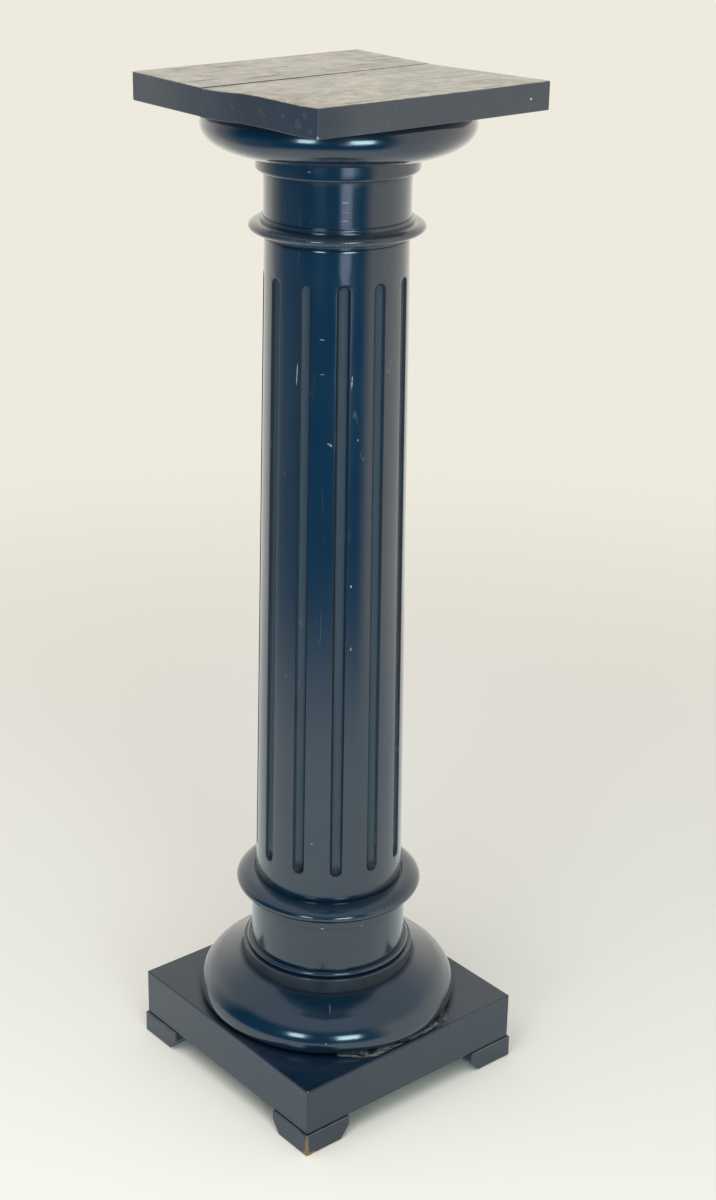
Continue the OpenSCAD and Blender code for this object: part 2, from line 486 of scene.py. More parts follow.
def mark(pen, place, spot_mm, turn_deg, half_mm, soft=0.6):
    """One mark of its own: an oval at a place on the piece, turned to lie along the surface."""
    sockets = {
        "Vector": place, "Location": tuple(v * MM for v in spot_mm),
        "Rotation": tuple(math.radians(v) for v in turn_deg), "Scale": tuple(v * MM for v in half_mm),
    }
    inside = pen.node("Mapping", {"vector_type": "TEXTURE"}, sockets)
    reach = pen.node("VectorMath", {"operation": "LENGTH"}, {0: inside}, "Value")
    return reach.between(1, soft)


def stored(pen, name):
    """A number that the mesh carries at each point, from 0 to 1."""
    return pen.node("Attribute", {"attribute_name": name}, None, "Fac")


def bump(pen, height, strength, depth_mm):
    """A height as small hollows and rises that catch the light."""
    return pen.node("Bump", None, {"Strength": strength, "Distance": depth_mm * MM, "Height": height})


def coat(pen, sockets):
    """Ends a finish: its shader and the output."""
    pen.node("OutputMaterial", None, {"Surface": pen.node("BsdfPrincipled", None, sockets)})


def around(turn_deg, radius, z):
    """A point on a turned piece, from its angle, its distance from the axis and its height."""
    turn = math.radians(turn_deg)
    return (radius * math.cos(turn), radius * math.sin(turn), z)


# %% Mix the polished finish
EBONY = (0.0028, 0.0150, 0.0325)
EBONY_PALER = (0.0042, 0.0185, 0.0345)
OPEN_PORES = (0.02, 0.024, 0.03)
DUSTY_POLISH = (0.027, 0.047, 0.066)
DUST = (0.11, 0.105, 0.095)
# Near-black for dirt and painted shade in corners and under parts, and for cracks.
GRIME_AND_SHADE = (0.002, 0.004, 0.008)
CHIPS_AND_GLINTS = (0.50, 0.50, 0.47)
BARE = (0.27, 0.17, 0.075)
BARE_DARK = (0.15, 0.095, 0.045)


def polished(name, chips, cracks, scratched=0.0):
    """Black shellac over stained wood; chips and cracks list the marks at known places, and the chips
    may hold painted highlights.
    """
    material, pen = new_material(name, (0.02, 0.025, 0.03))
    place = pen.node("TexCoord", output="Object")
    along = stretched(pen, place, (1.0, 1.0, 0.05))
    worn = stored(pen, "worn")
    dirt = stored(pen, "dirt")
    hollow = stored(pen, "hollow")

    patches = soft_noise(pen, place, 55, 4, 0.6, 1)
    grain = soft_noise(pen, along, 2.2, 4, 0.65, 2)
    smears = soft_noise(pen, stretched(pen, place, (1.0, 1.0, 0.2)), 16, 3, 0.6, 4)
    scratches = hairlines(pen, place, 17, 0.0045, 0.58, 1.3)
    scratches = scratches + hairlines(pen, place, 23, 0.003, 0.60, 2.1)
    knocks = flecks(pen, place, 30, 0.55, 0.10)
    speckle = soft_noise(pen, place, 1.4, 2, 0.6, 6).between(0.38, 0.5)
    marks_and_glints = scratches * scratched + knocks * 0.8
    for chip in chips:
        marks_and_glints = marks_and_glints + mark(pen, place, *chip) * speckle * 0.7
    marks_and_glints = marks_and_glints.held()
    # Corners darken as dirt and as painted shade; the cracks added below are real dark lines.
    gaps_and_shade = dirt.between(0.15, 0.95)
    for crack in cracks:
        gaps_and_shade = gaps_and_shade + mark(pen, place, *crack)
    gaps_and_shade = gaps_and_shade.held()

    stain = patches.between(0.35, 0.75).blend(EBONY, EBONY_PALER)
    pores = (grain.between(0.62, 0.8) * 0.35).blend(stain, OPEN_PORES)
    bottoms = hollow.between(0.45, 0.8)
    dusted = (bottoms * (0.75 + grain * 0.3)).held().blend(pores, DUSTY_POLISH)
    rubbed = (worn * (0.35 + speckle * 0.4)).held().blend(dusted, DUST)
    grimy_and_shaded = (gaps_and_shade * 0.8).blend(rubbed, GRIME_AND_SHADE)
    colour = marks_and_glints.blend(grimy_and_shaded, CHIPS_AND_GLINTS)
    dull = 0.09 + patches * 0.07 + smears * 0.07 + grain * 0.04 + worn * 0.15
    dull = dull + (marks_and_glints + gaps_and_shade + bottoms) * 0.42

    ripples = soft_noise(pen, stretched(pen, place, (1.0, 1.0, 0.35)), 34, 2, 0.5, 8)
    height = ripples * 0.45 + smears * 0.10 + grain * 0.008 - marks_and_glints * 0.02 - gaps_and_shade * 0.05
    coat(pen, {
        "Base Color": colour, "Roughness": dull.held(), "Coat Roughness": 0.13,
        "Coat Weight": 1.0 - (marks_and_glints * 0.8 + gaps_and_shade * 0.9 + bottoms * 0.75).held(),
        "Normal": bump(pen, height, 0.4, 0.9),
    })
    return material


# %% [markdown]
# Years of use left marks at places of their own. They are listed here by where they lie round the
# column, and each is an oval that the finish reads: where it is, how it is turned, how large. Three
# pale dashes on the shaft's neck among them are painted highlights of the windows.

# %% List the marks
SHAFT_CHIPS_AND_GLINTS = [
    (around(-160.3, 72.4, 806), (3, 0, 0), (0.7, 0.7, 16)),
    (around(-149.9, 72.6, 790), (0, 0, -60), (2.2, 2.2, 1.3)),
    (around(-140.2, 72.0, 843), (0, 6, -50), (3.2, 1.2, 0.4)),
    (around(-139.8, 72.5, 809), (0, -5, -50), (3.0, 1.2, 0.4)),
    (around(-133.0, 73.2, 739), (0, 30, -40), (3.4, 1.0, 1.2)),
    (around(-116.9, 72.4, 801), (0, 3, 0), (0.8, 0.8, 8)),
    (around(-111.5, 73.2, 743), (0, 0, 0), (0.9, 0.9, 1.2)),
    (around(-95.5, 72.0, 842), (4, 0, 0), (0.6, 0.6, 22)),
    (around(-115.0, 75.6, 522), (18, 8, 0), (0.6, 0.6, 13)),
    (around(-115.4, 75.0, 591), (0, 0, 0), (1.0, 1.0, 1.6)),
    (around(-127.5, 77.2, 402), (0, 0, 0), (1.1, 1.1, 1.3)),
    (around(-143.0, 78.4, 300), (0, 0, 0), (1.2, 1.2, 0.9)),
    # Painted highlights: these three pale dashes on the neck are glints of the windows, not chips.
    (around(-124.2, 71.9, 973.6), (0, 0, -34), (4.5, 1.4, 0.6)),
    (around(-124.0, 71.9, 964.4), (0, 0, -34), (3.5, 1.4, 0.5)),
    (around(-124.1, 71.8, 956.6), (0, 0, -34), (3.8, 1.4, 0.6)),
    (around(20, 74, 700), (0, 5, 0), (0.8, 0.8, 11)),
    (around(75, 76, 480), (4, 0, 0), (0.7, 0.7, 14)),
    (around(130, 73, 760), (0, 0, 0), (1.6, 1.6, 1.2)),
]
SHAFT_CRACKS = [(around(-108.6, 70.9, 928.4), (0, 0, -18), (1.6, 0.7, 3.2))]
COLLAR_CHIPS = [
    (around(-133.5, 87.0, 203.2), (0, 0, -43), (2.4, 1.2, 0.9)),
    (around(-105.0, 87.0, 203.0), (0, 0, 0), (1.4, 1.4, 1.0)),
    (around(-96.0, 80.9, 230.6), (0, 0, 0), (1.6, 1.0, 0.8)),
    (around(60, 99, 223), (0, 0, 0), (1.8, 1.8, 1.2)),
]
COLLAR_CRACKS = [
    (around(-45.3, 90.5, 224.6), (0, 16, -45.3), (10.5, 0.55, 6)),
    (around(-47.9, 100.2, 220.6), (0, 0, 0), (1.5, 1.5, 1.5)),
]
CUSHION_CHIPS = [
    (around(-84.3, 128.2, 108.5), (0, 0, 0), (1.1, 1.1, 3)),
    (around(-129.8, 139.5, 94), (0, 0, 0), (1.3, 1.3, 1.6)),
    (around(-127.9, 112.0, 119.2), (0, 24, -128), (8.0, 0.22, 1.5)),
    (around(-60, 134, 103), (0, 0, 30), (2.4, 0.8, 3)),
    (around(100, 130, 109), (0, 0, 0), (1.4, 1.4, 4)),
]
CAPITAL_CHIPS = [
    (around(-149.3, 79.8, 1002.4), (0, 0, -59), (2.0, 1.0, 0.6)),
    (around(-70.0, 131.0, 1033), (0, 0, 0), (0.9, 0.9, 1.2)),
    (around(160, 131.5, 1040), (0, 0, 0), (1.5, 1.5, 1.0)),
]
polish_of = {
    "capital": polished("capital_polish", CAPITAL_CHIPS, []),
    "shaft": polished("shaft_polish", SHAFT_CHIPS_AND_GLINTS, SHAFT_CRACKS, 0.10),
    "base_collar": polished("collar_polish", COLLAR_CHIPS, COLLAR_CRACKS),
    "base_cushion": polished("cushion_polish", CUSHION_CHIPS, []),
}
print("polished finishes:", sum(len(m.node_tree.nodes) for m in polish_of.values()), "nodes")

# %% [markdown]
# ## The capital
# The capital is one turned piece: a plain ring, the annulet, and above it the echinus, a cushion
# that swells out under the top. Its underside is a long shallow curve, its nose turns over, and it
# draws in again where the boards sit on it.

# %% Turn the capital


def store(piece, name, values):
    """Keeps one number for each point of a piece, 0 to 1, for the finish to read."""
    layer = piece.data.attributes.new(name, "FLOAT", "POINT")
    layer.data.foreach_set("value", np.clip(values, 0, 1).astype(np.float32))


def patchy(points, size_mm, seed):
    """One noise value for each point, about -0.5 to 0.5."""
    shift = Vector((seed, seed, seed))
    return np.array([noise.noise(Vector(p) / size_mm + shift) for p in points.tolist()])


def turned_piece(name, node, points, faces):
    """Makes a turned piece over its own solid, in its own polish."""
    return make_piece(name, points, faces, [node], polish_of[node])


CORE_R = 60
CAPITAL_COLUMNS = 240
ANNULET_R, ANNULET_H, ANNULET_ROUND = 80.0, 17.5, 4
ECHINUS_R, ECHINUS_RUN, ECHINUS_RISE = 132.4, 45, 27
LIP_RUN, LIP_RISE = 10, 15
echinus_nose = CAPITAL_Z + ANNULET_H + ECHINUS_RISE
capital_corners = (
    upright(CORE_R, CAPITAL_Z, 0)
    + arc(ANNULET_R - ANNULET_ROUND, CAPITAL_Z + ANNULET_ROUND, ANNULET_ROUND, ANNULET_ROUND, -90, 0, 8)
    + upright(ANNULET_R, CAPITAL_Z, 9, ANNULET_H - 1, ANNULET_H)
    + arc(ECHINUS_R - ECHINUS_RUN, echinus_nose, ECHINUS_RUN, ECHINUS_RISE, -90, 0, 36)
    + arc(ECHINUS_R - LIP_RUN, echinus_nose, LIP_RUN, LIP_RISE, 6, 90, 16)
    + upright(CORE_R, TOP_Z, 0)
)
capital_outline = eased(capital_corners)
capital_shape = turn(capital_outline, even_turns(len(capital_outline), CAPITAL_COLUMNS))
capital = turned_piece("turned_capital", "capital", *capital_shape)

# %% [markdown]
# ## The fluted shaft
# The shaft is turned to a gentle taper, with the astragal's bead and the neck at its head, and then
# twelve flutes are run down it with a round cutter that lifts out at both ends. A Boolean would
# leave ragged shading on the thin lands, so the mesh is laid out for the flutes instead: columns
# bunch at the flutes' edges, rows bunch at their ends, and each point sinks to the cutter's depth.

# %% Lay out the shaft's outline
SHAFT_H, FOOT_R, HEAD_R, NECK_R = 701.0, 79.3, 71.0, 71.9
LIFT_LOW, LIFT_HIGH = 31.0, 37.0
CUT_R, CUT_DEPTH = 7.2, 4.5
CUT_HALF = math.sqrt(CUT_R**2 - (CUT_R - CUT_DEPTH) ** 2)
FLUTES, FIRST_FLUTE = 12, math.radians(-4)
FLUTE_PITCH = math.tau / FLUTES
ASTRAGAL_R, ASTRAGAL_RUN, ASTRAGAL_RISE = 77.5, 8.9, 5.4
LISTEL_R, LISTEL_H = 75, 15
FINE_ROWS = 0.45
astragal_z = SHAFT_Z + SHAFT_H
bead_z = astragal_z + 1.5
quirk_r = HEAD_R - 0.95
low_end = SHAFT_Z + LIFT_LOW + CUT_HALF
high_end = astragal_z - LIFT_HIGH - CUT_HALF


def shaft_radius(z):
    return FOOT_R + (HEAD_R - FOOT_R) * (z - SHAFT_Z) / SHAFT_H


def rows_along(start, end, spacing):
    """Outline points down the plain taper, about a spacing apart."""
    count = max(2, round(abs(end - start) / spacing) + 1)
    return [(shaft_radius(z), z, 0) for z in np.linspace(start, end, count)]


shaft_corners = (
    [(CORE_R, SHAFT_Z, 0), (FOOT_R - 0.8, SHAFT_Z, 0), (FOOT_R - 0.3, SHAFT_Z + 0.3, 0)]
    + rows_along(SHAFT_Z + 0.9, low_end - 11, 3.5)
    + rows_along(low_end - 10.4, low_end + 5, FINE_ROWS)
    + rows_along(low_end + 8, high_end - 8, 9)
    + rows_along(high_end - 5, high_end + 10.4, FINE_ROWS)
    + rows_along(high_end + 11, astragal_z - 6, 3)
    + arc(HEAD_R - 0.85, astragal_z - 6.2, 0.9, 2.8, 0, 84, 12)
    + upright(quirk_r, astragal_z, -3.3, 0)
    + [(ASTRAGAL_R, astragal_z, 0.5), (ASTRAGAL_R, bead_z, 0)]
    + arc(ASTRAGAL_R, bead_z + ASTRAGAL_RISE, ASTRAGAL_RUN, ASTRAGAL_RISE, -84, 84, 20)
    + [(LISTEL_R, bead_z + 2 * ASTRAGAL_RISE, 0), (LISTEL_R, bead_z + LISTEL_H, 0.6)]
    + upright(NECK_R, bead_z, LISTEL_H, LISTEL_H + 6)
    + upright(NECK_R, CAPITAL_Z, -8, 0)
    + upright(CORE_R, CAPITAL_Z, 0)
)
shaft_outline = eased(shaft_corners, 4)
print("shaft outline:", len(shaft_outline), "rows")

# %% Cut the flutes


def flute_half(z):
    """Half the width of a flute at a height, with a little left past its tips for the mesh."""
    past = np.maximum(0, np.maximum(low_end - z, z - high_end))
    inside = np.sqrt(np.maximum(CUT_HALF**2 - past**2, 0.8**2))
    return np.where(past > CUT_HALF, 0.8 + (past - CUT_HALF) * 0.35, inside).clip(max=CUT_HALF)


def flute_columns(outline):
    """Each row's angles: columns across every flute and across the land beside it."""
    z, r = outline[:, 1], outline[:, 0]
    half = flute_half(z) / np.maximum(r, CORE_R)
    arris = np.array([0.96, 1.0, 1.04, 1.09])
    across = np.concatenate([-arris[::-1], np.linspace(-0.88, 0.88, 11), arris])
    land = np.linspace(0, 1, 6)[1:-1]
    turns = []
    for flute in range(FLUTES):
        middle = FIRST_FLUTE + flute * FLUTE_PITCH
        turns.append(middle + half[:, None] * across[None, :])
        edge = half * across[-1]
        turns.append((middle + edge)[:, None] + (FLUTE_PITCH - 2 * edge)[:, None] * land[None, :])
    return np.concatenate(turns, 1)


def flute_depth(turns, radius, z):
    """How deep the cutter has gone at each point, with the arrises slightly rubbed over."""
    offset = (turns - FIRST_FLUTE + FLUTE_PITCH / 2) % FLUTE_PITCH - FLUTE_PITCH / 2
    sideways = radius * np.sin(offset)
    past = np.maximum(0, np.maximum(low_end - z, z - high_end))
    gap = radius + CUT_R - CUT_DEPTH - radius * np.cos(offset)
    left = CUT_R**2 - sideways**2 - past**2
    inside = np.sqrt(np.maximum(left, 0)) - gap
    outside = CUT_R - np.sqrt(sideways**2 + past**2 + gap**2)
    sunk = np.where((left > 0) & (inside > 0), inside, outside)
    ease = 0.35
    return (sunk + np.sqrt(sunk**2 + ease**2)) / 2 - 0.012


shaft_turns = flute_columns(shaft_outline)
plain_radius = shaft_outline[:, 0, None] + np.zeros_like(shaft_turns)
height = shaft_outline[:, 1, None] + np.zeros_like(shaft_turns)
on_shaft = (height > SHAFT_Z + 2) & (height < astragal_z - 6)
sunk = np.where(on_shaft, flute_depth(shaft_turns, plain_radius, height), 0).clip(min=0)
shaft_points, shaft_faces = turn(shaft_outline, shaft_turns)
ring_points = len(shaft_outline) * shaft_turns.shape[1]
shrink = (1 - sunk / plain_radius).reshape(-1, 1)
shaft_points[:ring_points, :2] *= shrink
shaft = turned_piece("fluted_shaft", "shaft", shaft_points, shaft_faces)
print("deepest flute", round(float(sunk.max()), 2), "mm")

# %% [markdown]
# ## The collar
# Under the shaft comes the collar: a ring with a rolled edge that carries the shaft, a fillet, a
# plain drum, a small bead and a flat band.

# %% Turn the collar
COLLAR_COLUMNS = 256
BAND_R, BAND_H = 93.3, 16
BEAD_R, BEAD_ROUND = 86.3, 3
DRUM_R, DRUM_TOP = 83.9, 75
FILLET_R = 87
RING_R, RING_UNDER, RING_RISE = 100.4, 10, 9.3
SEAT_R, RECESS_R, RECESS_DEPTH = 81.2, 79.0, 0.9
ring_nose = SHAFT_Z - RING_RISE
collar_corners = (
    upright(CORE_R, COLLAR_Z, 0)
    + upright(BAND_R, COLLAR_Z, 0, 3)
    + [(BAND_R, COLLAR_Z + BAND_H, 0.8), (BEAD_R, COLLAR_Z + BAND_H, 0)]
    + arc(BEAD_R, COLLAR_Z + BAND_H + BEAD_ROUND, BEAD_ROUND, BEAD_ROUND, -84, 90, 14)
    + upright(DRUM_R, COLLAR_Z, 22, 30, 67, DRUM_TOP)
    + [(FILLET_R, COLLAR_Z + DRUM_TOP, 0.7)]
    + upright(FILLET_R, COLLAR_Z, 81, 87)
    + arc(RING_R - RING_UNDER, ring_nose, RING_UNDER, 7.5, -90, 0, 14)
    + arc(SEAT_R, ring_nose, RING_R - SEAT_R, RING_RISE, 6, 88, 22)
    + [(SEAT_R, SHAFT_Z, 0.3), (SEAT_R - 0.8, SHAFT_Z - RECESS_DEPTH, 0)]
    + upright(RECESS_R, SHAFT_Z, -RECESS_DEPTH, 0)
    + upright(CORE_R, SHAFT_Z, 0)
)
collar_outline = eased(collar_corners)
collar_shape = turn(collar_outline, even_turns(len(collar_outline), COLLAR_COLUMNS))
collar = turned_piece("turned_collar", "base_collar", *collar_shape)

# %% [markdown]
# ## The base cushion
# The cushion is a wide torus, flattened above: a full round nose that tucks in under itself, and a
# long shallow crown that climbs to the collar.

# %% Turn the cushion


def bulge(start, end, radius, steps):
    """Points of a circular arc from start to end that swells to the right of its way."""
    start, end = np.array(start), np.array(end)
    chord = end - start
    length = np.linalg.norm(chord)
    across = np.array([chord[1], -chord[0]]) / length
    middle = (start + end) / 2 - across * math.sqrt(radius**2 - length**2 / 4)
    first = math.atan2(*(start - middle)[::-1])
    last = math.atan2(*(end - middle)[::-1])
    turns = np.linspace(first, last, steps + 1)[1:]
    return [(*(middle + radius * np.array([math.cos(t), math.sin(t)])), 0) for t in turns]


CUSHION_COLUMNS = 288
CUSHION_R, UNDER_H, UPPER_H, UPPER_RUN = 141.2, 8.0, 32.2, 37.9
NOSE_DEG, CROWN_R = 62, 600
nose_z = CUSHION_Z + UNDER_H
under = arc(CUSHION_R - UNDER_H, nose_z, UNDER_H, UNDER_H, -75, -5, 14)
nose = arc(CUSHION_R - UPPER_RUN, nose_z, UPPER_RUN, UPPER_H, 0, NOSE_DEG, 34)
crown = bulge(nose[-1][:2], (BAND_R, COLLAR_Z), CROWN_R, 20)
cushion_corners = [(CORE_R, CUSHION_Z, 0), (under[0][0], CUSHION_Z, 0)] + under + nose + crown
cushion_outline = eased(cushion_corners + upright(CORE_R, COLLAR_Z, 0))
cushion_shape = turn(cushion_outline, even_turns(len(cushion_outline), CUSHION_COLUMNS))
cushion = turned_piece("turned_cushion", "base_cushion", *cushion_shape)

# %% [markdown]
# ## Where dirt and painted shade stay and where hands rub
# A cloth rubs whatever stands out and never reaches an inside corner, and light reaches an inside
# corner least. Both are read from the one outline of the whole column: a small circle round a point
# lies mostly in wood where the point is in a corner, and mostly in air where it is on an arris. That
# share of wood becomes two numbers for each point: one darkens the corners as dirt and as painted
# shade, and the other is the wear on the arrises.

# %% Measure the corners and arrises
PLINTH_HALF, TOP_HALF = 145, 139.5
whole_outline = np.concatenate([
    [[0, CUSHION_Z - 20], [PLINTH_HALF, CUSHION_Z - 20], [PLINTH_HALF, CUSHION_Z]],
    cushion_outline[1:-1],
    collar_outline[1:-2],
    shaft_outline[1:-1],
    capital_outline[1:-1],
    [[TOP_HALF, TOP_Z], [TOP_HALF, TOP_Z + 20], [0, TOP_Z + 20]],
])


def share_of_wood(spots, reach_mm):
    """The share of a circle round each [radius, height] spot that lies inside the outline."""
    turns = np.linspace(0, math.tau, 20, endpoint=False)
    rings = [np.stack([np.cos(turns), np.sin(turns)], -1) * reach_mm * k for k in (0.3, 0.6, 0.85, 1.0)]
    offsets = np.concatenate(rings)
    tests = (spots[:, None, :] + offsets[None, :, :]).reshape(-1, 2)
    inside = np.zeros(len(tests), bool)
    for (r0, z0), (r1, z1) in zip(whole_outline, np.roll(whole_outline, -1, 0)):
        crosses = (z0 > tests[:, 1]) != (z1 > tests[:, 1])
        if z1 != z0:
            inside ^= crosses & (tests[:, 0] < r0 + (tests[:, 1] - z0) * (r1 - r0) / (z1 - z0))
    return inside.reshape(len(spots), -1).mean(1)


def store_wear(piece, outline, columns, most=1.0, sunk_share=None):
    """Gives a turned piece its numbers for dirt with painted shade, and for wear, row by row, made
    uneven round the column.
    """
    radius, height = outline.T
    # Dirt and painted shade: darker where a point lies deep in a corner, where light reaches least.
    dirt = ((share_of_wood(outline, 3.2) - 0.62) / 0.2).clip(0, 1)
    worn = ((0.40 - share_of_wood(outline, 1.6)) / 0.18).clip(0, 1)
    shoulder = (height > astragal_z - 9) & (height < astragal_z - 3.5)
    dirt[shoulder] = 0
    astragal = (height > astragal_z) & (height < bead_z + 14) & (radius > LISTEL_R)
    worn[astragal] = np.maximum(worn, 0.55)[astragal]
    # Painted shade: the collar's flat band and the cushion's crown just under it are darkened, as if in
    # the band's shadow.
    shaded_low_band = (height > CUSHION_Z + 44) & (height < COLLAR_Z + 15) & (radius < 106)
    dirt[shaded_low_band] = np.maximum(dirt, ((101 - radius) / 7).clip(0, 0.85))[shaded_low_band]
    dirt, worn = np.repeat(dirt, columns) * most, np.repeat(worn, columns)
    if sunk_share is not None:
        share = sunk_share.ravel()
        # Painted shade in the flutes: darker along their sides, and near the shaft's foot, where it
        # also hides the lamps' glints.
        shaded_flute_edges = np.clip(share / 0.08, 0, 1) * np.clip((0.72 - share) / 0.2, 0, 1)
        near_foot = np.clip((SHAFT_Z + 52 - np.repeat(height, columns)) / 16, 0, 1)
        foot = np.clip(share * 3, 0, 1) * near_foot
        dirt = np.maximum(dirt, np.maximum(shaded_flute_edges, foot))
        store(piece, "hollow", np.append(share * (1 - foot), [0, 0]))
    points = np.array([v.co for v in piece.data.vertices]) / MM
    spread = patchy(points[: len(dirt)], 22, 4)
    store(piece, "dirt", np.append(dirt * (0.92 + 0.2 * spread), [0, 0]))
    store(piece, "worn", np.append(worn * (0.55 + 0.9 * spread), [0, 0]))


store_wear(capital, capital_outline, CAPITAL_COLUMNS, 0.6)
store_wear(shaft, shaft_outline, shaft_turns.shape[1], 1.0, sunk / CUT_DEPTH)
store_wear(collar, collar_outline, COLLAR_COLUMNS, 0.9)
store_wear(cushion, cushion_outline, CUSHION_COLUMNS)
print("outline of the whole column:", len(whole_outline), "points")

# %% [markdown]
# ## Tools for boards and blocks
# A sawn block has flat faces and eased arrises. The mesh is a grid over its six faces; near an
# arris the grid points crowd together and are pushed onto the rounding. The grid is fine enough to
# carry a warp, a split or a chip.

# %% Build a block with eased arrises


def stations(low, high, ease, spacing):
    """Grid positions along one side: bunched over the rounding, even between."""
    bend = ease - ease * np.tan(np.radians([45, 34, 22, 11, 0]))
    inner = np.linspace(low + ease + 0.5, high - ease - 0.5, max(2, round((high - low) / spacing)))
    return np.concatenate([low + bend, inner, (high - bend)[::-1]])


def block(low, high, ease, spacing):
    """Points, their outward directions, and faces of an eased block."""
    axes = [stations(low[i], high[i], ease, spacing[i]) for i in range(3)]
    sizes = [len(axis) for axis in axes]
    index = -np.ones(sizes, int)
    shell = np.zeros(sizes, bool)
    for axis in range(3):
        for end in (0, -1):
            shell[tuple(end if i == axis else slice(None) for i in range(3))] = True
    index[shell] = np.arange(shell.sum())
    spots = np.stack(np.meshgrid(*axes, indexing="ij"), -1)[shell]
    core = np.clip(spots, np.array(low) + ease, np.array(high) - ease)
    outward = spots - core
    outward /= np.linalg.norm(outward, axis=1, keepdims=True)
    faces = []
    for axis in range(3):
        for end, flip in ((0, axis != 1), (-1, axis == 1)):
            grid = index[tuple(end if i == axis else slice(None) for i in range(3))]
            corners = [grid[:-1, :-1], grid[1:, :-1], grid[1:, 1:], grid[:-1, 1:]]
            quads = np.stack(corners, -1).reshape(-1, 4)
            faces += (quads[:, ::-1] if flip else quads).tolist()
    return core + outward * ease, outward, faces


# %% [markdown]
# ## The satin finish
# The boards, the plinth and the feet were finished more plainly: stain and one or two rubbed coats.
# Light spreads on them. A film of dust greys their faces, the grain shows as faint long lines, and
# the arrises wear through to paler wood. In front of the cushion, where the plinth's face gets wiped,
# the film is gone and the polish shines; the darker colour there is a painted dark reflection of the
# cushion. Towards the plinth's front corner the film thins, as painted shade, and near-black is dirt
# with painted shade under the cushion and where the feet meet the plinth.

# %% Mix the satin finish
STAIN = (0.0035, 0.014, 0.030)
STAIN_PALER = (0.007, 0.018, 0.034)
# Wiped patches: glossier polish, and a darker colour that is a painted dark reflection of the cushion.
WIPED_DARK_REFLECTION = [
    ((-125, -125, CUSHION_Z), (0, 0, 0), (80, 80, 4), 0.5),
    ((-15, -143, CUSHION_Z), (0, 0, 0), (95, 16, 4), 0.5),
]


def satin(name, chips):
    """Black stain with a thin rubbed coat, its grain along X."""
    material, pen = new_material(name, (0.04, 0.045, 0.05))
    place = pen.node("TexCoord", output="Object")
    along = stretched(pen, place, (0.05, 1.0, 1.0))
    worn = stored(pen, "worn")
    dirt = stored(pen, "dirt")
    dusty_edge = stored(pen, "dusty_edge")

    cloud = soft_noise(pen, place, 70, 4, 0.6, 11)
    grain = soft_noise(pen, along, 1.8, 5, 0.6, 12)
    streaks = soft_noise(pen, along, 9, 3, 0.6, 13)
    scuffs = soft_noise(pen, place, 7, 3, 0.7, 14).between(0.63, 0.75) * cloud.between(0.45, 0.65)
    knocks = flecks(pen, place, 40, 0.6, 0.08)

    stain = streaks.between(0.3, 0.75).blend(STAIN, STAIN_PALER)
    # Painted shade: the dust film thins towards the front corner, so the faces darken there.
    shaded_front_corner = mark(pen, place, (-145, -145, 50), (0, 0, 0), (260, 260, 120), 0.0)
    wiped_dark_reflection = (mark(pen, place, *WIPED_DARK_REFLECTION[0]) + mark(pen, place, *WIPED_DARK_REFLECTION[1])).held()
    film = cloud.between(0.3, 0.8) * 0.10 + scuffs * 0.10 + 0.10
    film = film * (1.0 - shaded_front_corner) * (1.0 - wiped_dark_reflection)
    dusty = (film + dusty_edge * 0.8).held().blend(stain, DUST)
    fibre = grain * 0.55 + soft_noise(pen, place, 3.5, 3, 0.6, 15) * 0.45
    bare = worn
    for chip in chips:
        bare = bare + mark(pen, place, *chip) * 0.62
    through = (bare * 1.5 + fibre * 2.2 - 1.45).between(0.1, 0.42)
    wood = grain.between(0.3, 0.7).blend(BARE_DARK, BARE)
    # Dirt and painted shadow: under the cushion's nose, and where the feet meet the plinth, the colour
    # goes near-black.
    shown = through.blend((dirt * 0.8).held().blend(dusty, GRIME_AND_SHADE), wood)
    colour = (knocks * 0.8).blend(shown, (0.55, 0.55, 0.52))
    dull = 0.24 + cloud * 0.10 + grain * 0.06 + through * 0.3 - wiped_dark_reflection * 0.18

    height = grain * 0.5 + streaks * 0.8 - through * 0.8
    thin_coat = (1.0 - (through + dirt).held()) * 0.4 * (1.0 - wiped_dark_reflection)
    coat(pen, {
        "Base Color": colour, "Roughness": dull, "Coat Weight": thin_coat, "Coat Roughness": 0.19,
        "Normal": bump(pen, height, 0.45, 0.25),
    })
    return material


PLINTH_CHIPS = [
    ((-144.5, -144.5, 78.5), (0, 0, 45), (1.3, 1.8, 1.0)),
    ((-145, -133, 71), (0, 0, 0), (1.0, 1.6, 1.0)),
]
plinth_satin = satin("plinth_satin", PLINTH_CHIPS)
print("satin finish:", len(plinth_satin.node_tree.nodes), "nodes")

# %% [markdown]
# ## The plinth
# A solid square block, its arrises still crisp. Where the cushion sits, a line of dirt that no cloth
# reaches, and painted shadow under the cushion's nose, is kept on the mesh as a number, by the distance
# from the column's axis.

# %% Saw the plinth
PLINTH_EASE = 1.1
points, outward, faces = block(PLINTH_LOW, PLINTH_HIGH, PLINTH_EASE, (4, 4, 3.6))
arris = 1 - np.abs(outward).max(1)
points -= outward * (arris * (1 + patchy(points, 9, 2)) * 0.8).clip(min=0)[:, None]
plinth = make_piece("plinth_block", points, faces, ["plinth"], plinth_satin)
store(plinth, "worn", arris * 1.1 * np.clip(0.25 + patchy(points, 16, 7), 0, 1))
# Dirt and painted shadow on the plinth's top, under and just round the cushion's nose.
from_axis = np.hypot(points[:, 0], points[:, 1])
store(plinth, "dirt", (points[:, 2] > CUSHION_Z - 2) * np.clip((146 - from_axis) / 6, 0, 1))

# %% [markdown]
# ## The feet
# Four small bracket feet, one under each corner. They stand a little proud of the plinth with a
# rounded upper arris, and their inner faces are cut back towards the floor. Their lowest arrises
# are rubbed through to the wood, most of all on the corner that people knock, and dust lies along
# the narrow ledge.

